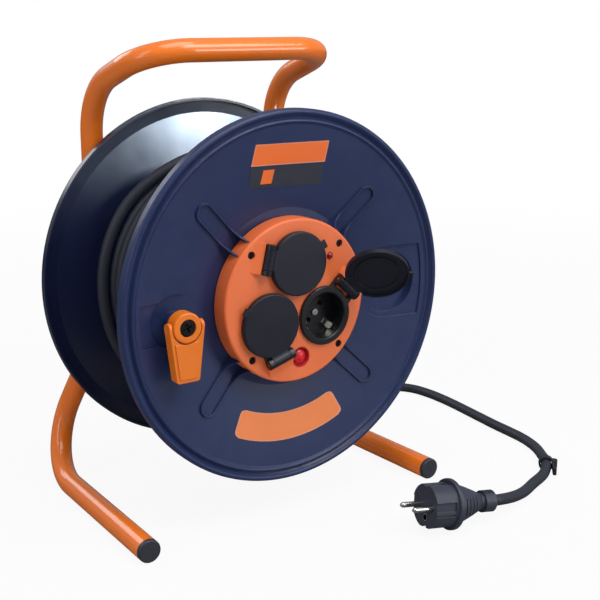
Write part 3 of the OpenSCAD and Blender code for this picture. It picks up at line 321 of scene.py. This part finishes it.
# %% Bend the wall round the room
wall_reach = 74
wall_steps = 28
wall_sections = [wall_section(180 - wall_reach + 2 * wall_reach * step / wall_steps)
                 for step in range(wall_steps + 1)]
corners = len(wall_sections[0])
wall_faces = [(corners * step + side, corners * step + (side + 1) % corners,
               corners * (step + 1) + (side + 1) % corners, corners * (step + 1) + side)
              for step in range(wall_steps) for side in range(corners)]
wall_faces += [tuple(reversed(range(corners))),
               tuple(corners * wall_steps + side for side in range(corners))]
wall_mesh = bpy.data.meshes.new("crank_room_wall")
wall_mesh.from_pydata([corner for section in wall_sections for corner in section], [], wall_faces)
room_side = bpy.data.objects.new("crank_room_wall", wall_mesh)
scene_collection.objects.link(room_side)
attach(room_side, "drum")
print("wall with", len(wall_faces), "faces")

# %% [markdown]
# ## Finishes
# Every finish starts from the same three ideas. A soft, large noise shifts the colour a little, because
# no moulding is one even colour. A second noise shifts the roughness, which is what makes a highlight
# look real. A fine noise pushes the surface in and out as a bump, for moulded grain or orange peel in
# paint. Painted images could do the same, but noise needs no unwrapping and stays sharp close up. One
# function builds all three, and each finish only chooses its numbers.
#
# Colours are easiest to choose as they look on a screen, from 0 to 255, so they are turned into the
# renderer's linear light first.

# %% Colours
def srgb(red, green, blue):
    """A colour as it looks on a screen, from 0 to 255, turned into the renderer's linear light."""
    def linear(c):
        c /= 255
        return c / 12.92 if c <= 0.04045 else ((c + 0.055) / 1.055) ** 2.4
    return (linear(red), linear(green), linear(blue), 1)


def scaled(colour, factor):
    """A colour made lighter or darker, but never brighter than white."""
    return (*(min(1, c * factor) for c in colour[:3]), 1)


print("mid grey is", round(srgb(128, 128, 128)[0], 3), "in linear light")

# %% [markdown]
# A noise is measured in the piece's own coordinates, which are in metres and move with the piece, so a
# grain of a millimetre is a millimetre on every piece. All three ideas use noise, so it gets a helper.

# %% Noise
def noise(tree, place, size, detail):
    """A noise with patches of about the size given, in metres."""
    node = tree.nodes.new("ShaderNodeTexNoise")
    node.inputs["Scale"].default_value = 1 / size
    node.inputs["Detail"].default_value = detail
    tree.links.new(place, node.inputs["Vector"])
    return node.outputs["Fac"]


print("noise() is ready")

# %% [markdown]
# The direction in which a surface faces decides how it catches the light, and both a soft edge and a
# grain are changes of that direction. The bevel node rounds the look of a sharp edge: it bends the light
# there and leaves the solid model's shape as it is. The bump node then adds the grain on top.

# %% Soft edges and grain
edge_samples = 6


def relief(tree, place, soften, grain, grain_size):
    """The direction of a surface with soft edges and a grain, or None if it has neither."""
    normal = None
    if soften:
        edge = tree.nodes.new("ShaderNodeBevel")
        edge.samples = edge_samples
        edge.inputs["Radius"].default_value = soften
        normal = edge.outputs["Normal"]
    if grain:
        bump = tree.nodes.new("ShaderNodeBump")
        bump.inputs["Strength"].default_value = 1.0
        bump.inputs["Distance"].default_value = grain
        tree.links.new(noise(tree, place, grain_size, detail=3), bump.inputs["Height"])
        if normal is not None:
            tree.links.new(normal, bump.inputs["Normal"])
        normal = bump.outputs["Normal"]
    return normal


print("relief() is ready")

# %% [markdown]
# Nearly all of a noise lies between 0.3 and 0.7. The finish spreads that stretch over its two shades of
# colour with a colour ramp, and over its range of roughness with a map range node.

# %% A function for finishes
noise_low = 0.3
noise_high = 0.7
smoothest = 0.03


def finish(name, colour, roughness, metallic=0.0, specular=0.5, coat=0.0, coat_roughness=0.1,
           mottle=0.08, mottle_size=0.03, rough_spread=0.06, grain=0.0, grain_size=0.0008, soften=0.0):
    """A procedural finish. Sizes are in metres; grain is the height of the bump, also in metres."""
    material = bpy.data.materials.new(name)
    material.use_nodes = True
    tree = material.node_tree
    shader = tree.nodes["Principled BSDF"]
    shader.inputs["Metallic"].default_value = metallic
    shader.inputs["Specular IOR Level"].default_value = specular
    shader.inputs["Coat Weight"].default_value = coat
    shader.inputs["Coat Roughness"].default_value = coat_roughness
    place = tree.nodes.new("ShaderNodeTexCoord").outputs["Object"]

    tint = tree.nodes.new("ShaderNodeValToRGB")
    low, high = tint.color_ramp.elements
    low.position = noise_low
    low.color = scaled(colour, 1 - mottle)
    high.position = noise_high
    high.color = scaled(colour, 1 + mottle)
    tree.links.new(noise(tree, place, mottle_size, detail=4), tint.inputs["Fac"])
    tree.links.new(tint.outputs["Color"], shader.inputs["Base Color"])

    dull = tree.nodes.new("ShaderNodeMapRange")
    dull.inputs["From Min"].default_value = noise_low
    dull.inputs["From Max"].default_value = noise_high
    dull.inputs["To Min"].default_value = max(smoothest, roughness - rough_spread)
    dull.inputs["To Max"].default_value = min(1, roughness + rough_spread)
    tree.links.new(noise(tree, place, mottle_size / 3, detail=5), dull.inputs["Value"])
    tree.links.new(dull.outputs["Result"], shader.inputs["Roughness"])

    normal = relief(tree, place, soften, grain, grain_size)
    if normal is not None:
        tree.links.new(normal, shader.inputs["Normal"])
    return material


finishes = {}
print("finish() is ready")

# %% [markdown]
# ## The stand
# The tube is powder coated: bright, with a faint orange peel that only its highlights show. A coat over
# the colour gives that sharp highlight, and a bump of a few thousandths of a millimetre makes it waver.
# The black caps in its ends are a plain moulding. The axle is turned from bare steel, while the ring and
# the hinge pins are darker spring steel.

# %% Finishes of the stand
finishes.update({
    "frame_orange": finish("orange powder coat", srgb(246, 122, 28), 0.3, coat=0.6, coat_roughness=0.05,
                           mottle=0.015, mottle_size=0.12, rough_spread=0.02, grain=0.000003,
                           grain_size=0.0012),
    "cap_black": finish("black end cap", srgb(46, 48, 56), 0.5, grain=0.00004, grain_size=0.0006),
    "steel_bare": finish("turned steel", srgb(190, 192, 196), 0.3, metallic=1.0, mottle=0.05),
    "steel_spring": finish("spring steel", srgb(150, 150, 155), 0.35, metallic=1.0, mottle=0.08),
})
print(len(finishes), "finishes")

# %% [markdown]
# ## The drum and its cable
# The drum is a navy plastic with a spark eroded grain on its outside. That grain is too fine to see one
# by one, but it takes the edge off every highlight. The cable's rubber is duller, and its sheath has a
# coarser skin, so it gets a deeper bump. The parts inside the drum hardly show and stay simple.

# %% Finishes of the drum and the cable
finishes.update({
    "drum_navy": finish("navy plastic", srgb(34, 47, 86), 0.36, specular=0.38, mottle=0.06,
                        grain=0.000015, grain_size=0.0007, soften=0.0006),
    "drum_inner": finish("navy plastic inside", srgb(34, 38, 62), 0.5),
    "bush_ivory": finish("bearing plastic", srgb(226, 222, 204), 0.45),
    "screw_zinc": finish("zinc plate", srgb(205, 205, 208), 0.3, metallic=1.0),
    "cable_rubber": finish("cable sheath", srgb(42, 45, 56), 0.52, specular=0.4, mottle=0.1,
                           grain=0.00008, grain_size=0.0018),
    "gland_black": finish("gland nut", srgb(30, 30, 34), 0.5),
    "terminal_white": finish("terminal plastic", srgb(228, 226, 214), 0.5),
})
print(len(finishes), "finishes")

# %% [markdown]
# ## The socket plate and the crank
# The plate is a satin plastic, and the crank is of the same orange family but smoother, since hands
# polish it. The lids and the sockets are two blacks that differ in grain and shine: a socket's inside is
# bare and glossy, and a lid is matt. The pin contacts are brass, while the earth clips and the plug's
# pins are nickel plated.

# %% Finishes of the plate and the crank
finishes.update({
    "plate_orange": finish("satin orange plastic", srgb(232, 112, 58), 0.48, mottle=0.04,
                           grain=0.00003, grain_size=0.0009, soften=0.0004),
    "gasket_rubber": finish("seal", srgb(24, 24, 26), 0.8),
    "screw_black": finish("blackened screw", srgb(26, 27, 32), 0.35, metallic=0.6, soften=0.0003),
    "socket_black": finish("socket plastic", srgb(20, 21, 25), 0.32, soften=0.0004),
    "lid_black": finish("lid plastic", srgb(25, 27, 40), 0.4, specular=0.35, grain=0.00002,
                        grain_size=0.0006, soften=0.0006),
    "contact_brass": finish("brass", srgb(214, 178, 110), 0.28, metallic=1.0),
    "contact_nickel": finish("nickel plate", srgb(222, 220, 214), 0.18, metallic=1.0, mottle=0.04),
    "button_red": finish("red button", srgb(206, 24, 34), 0.3, soften=0.0004),
    "cutout_red": finish("red ring", srgb(176, 18, 26), 0.35, soften=0.0003),
    "lamp_red": finish("lamp cap", srgb(140, 6, 26), 0.18, coat=0.5),
    "crank_orange": finish("crank plastic", srgb(232, 118, 20), 0.34, mottle=0.03,
                           grain=0.00001, grain_size=0.001, soften=0.0007),
})
print(len(finishes), "finishes")

# %% [markdown]
# ## The plug and the strap
# Both are rubber that is moulded on. The plug is a lighter, bluer black than the cable, and its edges are
# the softest of all, so its bevel is the widest.

# %% Finishes of the plug and the strap
finishes.update({
    "strap_rubber": finish("strap", srgb(30, 31, 36), 0.55, grain=0.00004, soften=0.0008),
    "plug_rubber": finish("plug rubber", srgb(52, 56, 70), 0.46, grain=0.00003, grain_size=0.0006,
                          soften=0.0008),
})
print(len(finishes), "finishes")

# %% [markdown]
# Each solid node already names its finish in the record that comes with the model, so one loop hands
# them out. The pieces drawn here get theirs by name. The rear flange is the same navy plastic, but what
# shows of it is the side that faces the cable, which comes smooth and glossy out of the mould. Its colour
# is also set much darker than the drum's navy, as painted shade for the shade between the two flanges.

# %% Hand the finishes out
slot_of = {part["node"]: part["material_slot"] for part in frame["record"]["subparts"]}
for name, node in nodes.items():
    node.data.materials.clear()
    node.data.materials.append(finishes[slot_of[name]])
# The rear flange's navy is darker than the drum's: painted shade for the shade between the flanges.
nodes["rear_flange"].data.materials[0] = finish("navy plastic, smooth, painted shade", srgb(20, 26, 54), 0.24, mottle=0.08,
                                                mottle_size=0.06, rough_spread=0.012, soften=0.0006)
for cable in (lead, winding):
    cable.data.materials.append(finishes["cable_rubber"])
wall_mesh.materials.append(finishes["drum_navy"])
print("finishes on", len(nodes), "nodes")

# %% [markdown]
# ## Printed labels
# Two printed labels stick to the front flange. The flange is a shallow cone, so a flat label would cut
# into it. Each label is a fine grid of faces, laid out flat in front of the flange and then dropped along
# the axis until every corner meets it, as a sticker follows what it is pressed on. A shrinkwrap modifier
# could do that too, but the tree of the flange's faces is there already. They are left bare, as colour
# fields with a thin border. Where one field lies on another, it is lifted a little further.

# %% A function for labels
label_lift = 0.2
upper_lift = 1.5 * label_lift
drop_from = 5


def on_flange(x, y, lift):
    """The place on the flange straight behind (x, y), raised a little towards us."""
    hit = flange_tree.ray_cast(face(x, y, drop_from), Vector((0, 1, 0)))[0]
    return hit - Vector((0, lift * MM, 0))


def label(name, outline, grid, material, lift=label_lift):
    """outline(u, v) gives a place on the flange for u and v from 0 to 1; grid is columns and rows."""
    columns, rows = grid
    vertices = []
    for j in range(rows + 1):
        for i in range(columns + 1):
            x, y = outline(i / columns, j / rows)
            vertices.append(on_flange(x, y, lift))
    faces = []
    for j in range(rows):
        for i in range(columns):
            a = j * (columns + 1) + i
            faces.append((a, a + 1, a + columns + 2, a + columns + 1))
    mesh = bpy.data.meshes.new(name)
    mesh.from_pydata(vertices, [], faces)
    mesh.materials.append(material)
    piece = bpy.data.objects.new(name, mesh)
    scene_collection.objects.link(piece)
    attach(piece, "drum")
    print(name, "with", len(faces), "faces")


print("label() is ready")

# %% [markdown]
# The upper label is made of fields with four straight sides that aren't quite square to each other. Such
# a field is easy to fill: a point runs along the lower side and another along the upper, and the place
# wanted lies between the two.

# %% The upper label
def quad(corners):
    """A field with four straight sides, from its corners in turn."""
    a, b, c, d = (Vector(p) for p in corners)

    def place(u, v):
        low = a.lerp(b, u)
        high = d.lerp(c, u)
        return low.lerp(high, v)
    return place


print_orange = finish("label orange", srgb(236, 108, 36), 0.38, mottle=0.02)
print_edge = finish("label edge", srgb(226, 146, 118), 0.38, mottle=0.02)
print_grey = finish("label grey", srgb(44, 47, 60), 0.4, mottle=0.03)
field_grid = (30, 8)
block_grid = (8, 6)
top_edge = [(-37.6, 115.7), (36.8, 114.7), (39.2, 132.8), (-34.5, 133.6)]
top_field = [(-36.7, 116.5), (36.1, 115.5), (38.2, 132.1), (-33.8, 132.9)]
band = [(-38.6, 97.4), (34.9, 95.4), (35.6, 113.7), (-37.8, 114.7)]
block = [(-27, 100.1), (-15.6, 100), (-13.6, 111.8), (-24.8, 111.8)]
label("label_edge", quad(top_edge), field_grid, print_edge)
label("label_top", quad(top_field), field_grid, print_orange, lift=upper_lift)
label("label_band", quad(band), field_grid, print_grey)
label("label_block", quad(block), block_grid, print_orange, lift=upper_lift)

# %% [markdown]
# The lower label bends round the drum's axis, as part of a ring with rounded corners. Near its inner and
# outer edge the ends draw in along a quarter circle, which rounds the corners without any extra faces.

# %% The lower label
def sector(inner, outer, start, end, corner):
    """Part of a ring, with its four corners rounded."""
    def place(u, v):
        r = inner + (outer - inner) * v
        from_edge = min(corner, min(v, 1 - v) * (outer - inner))
        inset = corner - math.sqrt(corner ** 2 - (corner - from_edge) ** 2)
        turn_in = math.degrees(inset / r)
        angle = math.radians(start + turn_in + (end - start - 2 * turn_in) * u)
        return r * math.cos(angle), r * math.sin(angle)
    return place


print_amber = finish("label amber", srgb(236, 130, 66), 0.42, mottle=0.02)
ring_grid = (48, 18)
rating_edge = sector(inner=102.5, outer=126.8, start=242.5, end=297, corner=5)
rating_field = sector(inner=103.4, outer=125.9, start=243.1, end=296.4, corner=4.5)
label("label_rating_edge", rating_edge, ring_grid, print_edge)
label("label_rating", rating_field, ring_grid, print_amber, lift=upper_lift)

# %% [markdown]
# ## The floor
# In a studio such a reel would stand on a wide roll of pale paper. One flat face is enough here, since it
# is so large that its edge lies far outside the picture.

# %% Lay the floor
floor_size = 60
half = floor_size / 2
floor_corners = [(-half, -half, 0), (half, -half, 0), (half, half, 0), (-half, half, 0)]
floor_mesh = bpy.data.meshes.new("floor")
floor_mesh.from_pydata(floor_corners, [], [(0, 1, 2, 3)])
floor_piece = bpy.data.objects.new("floor", floor_mesh)
scene_collection.objects.link(floor_piece)
print("floor", floor_size, "m square")

# %% [markdown]
# A white floor would bleach the object's colours with the light it throws back. So to the object it is
# only a pale floor, and in glossy faces, which would turn milky, it shows as a darker one. The Light Path
# node tells which kind of ray asks.

# %% Paint the floor
floor_tone_lit = 0.7
floor_tone_mirrored = 0.12
floor_roughness = 0.9
floor_material = bpy.data.materials.new("pale floor")
floor_material.use_nodes = True
floor_tree = floor_material.node_tree
floor_rays = floor_tree.nodes.new("ShaderNodeLightPath")
floor_paint = floor_tree.nodes["Principled BSDF"]
floor_paint.inputs["Roughness"].default_value = floor_roughness
floor_tone = floor_tree.nodes.new("ShaderNodeMapRange")
floor_tone.inputs["To Min"].default_value = floor_tone_lit
floor_tone.inputs["To Max"].default_value = floor_tone_mirrored
floor_tree.links.new(floor_rays.outputs["Is Glossy Ray"], floor_tone.inputs["Value"])
floor_tree.links.new(floor_tone.outputs["Result"], floor_paint.inputs["Base Color"])
floor_mesh.materials.append(floor_material)
print("floor tone", floor_tone_lit, "to the object and", floor_tone_mirrored, "in mirrors")

# %% [markdown]
# To the camera the floor glows almost white, and the share of plain paint that is left keeps the
# object's shadow on it. The glow grows with the distance until nothing but white is left, so the floor
# meets the white background without a line.

# %% Let the floor glow for the camera
floor_whiteness_near = 0.92
floor_whiteness_far = 1.0
floor_near = 0.5
floor_far = 1.8
floor_place = floor_tree.nodes.new("ShaderNodeTexCoord")
floor_distance = floor_tree.nodes.new("ShaderNodeVectorMath")
floor_distance.operation = "LENGTH"
floor_tree.links.new(floor_place.outputs["Object"], floor_distance.inputs[0])
floor_fade = floor_tree.nodes.new("ShaderNodeMapRange")
floor_fade.inputs["From Min"].default_value = floor_near
floor_fade.inputs["From Max"].default_value = floor_far
floor_fade.inputs["To Min"].default_value = floor_whiteness_near
floor_fade.inputs["To Max"].default_value = floor_whiteness_far
floor_tree.links.new(floor_distance.outputs["Value"], floor_fade.inputs["Value"])

floor_seen = floor_tree.nodes.new("ShaderNodeMath")
floor_seen.operation = "MAXIMUM"
floor_tree.links.new(floor_rays.outputs["Is Camera Ray"], floor_seen.inputs[0])
floor_tree.links.new(floor_rays.outputs["Is Transmission Ray"], floor_seen.inputs[1])
floor_share = floor_tree.nodes.new("ShaderNodeMath")
floor_share.operation = "MULTIPLY"
floor_tree.links.new(floor_seen.outputs[0], floor_share.inputs[0])
floor_tree.links.new(floor_fade.outputs["Result"], floor_share.inputs[1])

floor_glow = floor_tree.nodes.new("ShaderNodeEmission")
floor_glow.inputs["Color"].default_value = (1, 1, 1, 1)
floor_mix = floor_tree.nodes.new("ShaderNodeMixShader")
floor_tree.links.new(floor_share.outputs[0], floor_mix.inputs["Fac"])
floor_tree.links.new(floor_paint.outputs["BSDF"], floor_mix.inputs[1])
floor_tree.links.new(floor_glow.outputs["Emission"], floor_mix.inputs[2])
floor_tree.links.new(floor_mix.outputs["Shader"], floor_tree.nodes["Material Output"].inputs["Surface"])
print("floor painted with", len(floor_tree.nodes), "shader nodes")

# %% [markdown]
# ## The room
# The world round the object does two jobs. The camera sees plain white, and the object gets a weak,
# slightly cool light from all sides, which fills the shadows. Again the Light Path node tells the two
# apart.

# %% Light the room
room_colour = (0.92, 0.95, 1, 1)
room_strength = 0.34
world = bpy.data.worlds.new("studio")
bpy.context.scene.world = world
world.use_nodes = True
world_tree = world.node_tree
room_light = world_tree.nodes["Background"]
room_light.inputs["Color"].default_value = room_colour
room_light.inputs["Strength"].default_value = room_strength
white_backdrop = world_tree.nodes.new("ShaderNodeBackground")
white_backdrop.inputs["Color"].default_value = (1, 1, 1, 1)
white_backdrop.inputs["Strength"].default_value = 1.0
world_rays = world_tree.nodes.new("ShaderNodeLightPath")
backdrop_mix = world_tree.nodes.new("ShaderNodeMixShader")
world_tree.links.new(world_rays.outputs["Is Camera Ray"], backdrop_mix.inputs["Fac"])
world_tree.links.new(room_light.outputs["Background"], backdrop_mix.inputs[1])
world_tree.links.new(white_backdrop.outputs["Background"], backdrop_mix.inputs[2])
world_tree.links.new(backdrop_mix.outputs["Shader"], world_tree.nodes["World Output"].inputs["Surface"])
print("room light", room_strength)

# %% [markdown]
# ## The lamps
# A large soft lamp hangs above, a second shines from the front right, and weak ones fill the left, the
# low right and the back. All are area lamps, because a wide source gives soft shadows. Each is placed
# like the camera, by angles and a distance, and turned towards the middle of the drum. The colours are
# shown as they are, so the view transform is the standard one.

# %% Hang the lamps
drum_depth = 160
middle = face(0, 0, -drum_depth / 2)


def soft_lamp(name, azimuth, elevation, distance, size, watts):
    """A lamp that is a rectangle of light. Angles are in degrees, and distance and size in metres."""
    lamp_data = bpy.data.lights.new(name, "AREA")
    lamp_data.shape = "RECTANGLE"
    lamp_data.size = size[0]
    lamp_data.size_y = size[1]
    lamp_data.energy = watts
    lamp = bpy.data.objects.new(name, lamp_data)
    scene_collection.objects.link(lamp)
    lamp.location = middle + distance * outward(azimuth, elevation)
    lamp.rotation_mode = "QUATERNION"
    lamp.rotation_quaternion = outward(azimuth, elevation).to_track_quat("Z", "Y")
    return lamp


soft_lamp("lamp above", -5, 70, 1.5, (1.2, 0.9), 12)
soft_lamp("lamp front", 25, 42, 1.7, (0.9, 0.6), 11)
soft_lamp("lamp low right", 36, 8, 1.7, (0.7, 0.5), 2.5)
soft_lamp("lamp left", -80, 25, 1.6, (0.4, 1.2), 3.5)
soft_lamp("lamp behind", 200, 30, 1.8, (0.9, 0.7), 6)
bpy.context.scene.view_settings.view_transform = "Standard"
print("five lamps hung")

# %% [markdown]
# Two more lamps are there for the reflections alone, and add nothing to what a dull surface shows. The
# reflector is a sheen in glossy faces, as a white card beside the object would give. The gleam is a lamp
# for one piece: the smooth inside of the rear flange mirrors it as a bright patch near the top, and light
# linking keeps it off everything else.

# %% Add the reflections
reflector = soft_lamp("reflector", 34, 6, 1.7, (0.6, 0.3), 3)
reflector.visible_diffuse = False
gleam_colour = (0.7, 0.84, 1)
gleam = soft_lamp("gleam", 36, 30, 1.7, (0.35, 0.35), 400)
gleam.data.color = gleam_colour
gleam.visible_diffuse = False
gleam_receivers = bpy.data.collections.new("gleam_receivers")
gleam_receivers.objects.link(nodes["rear_flange"])
gleam.light_linking.receiver_collection = gleam_receivers
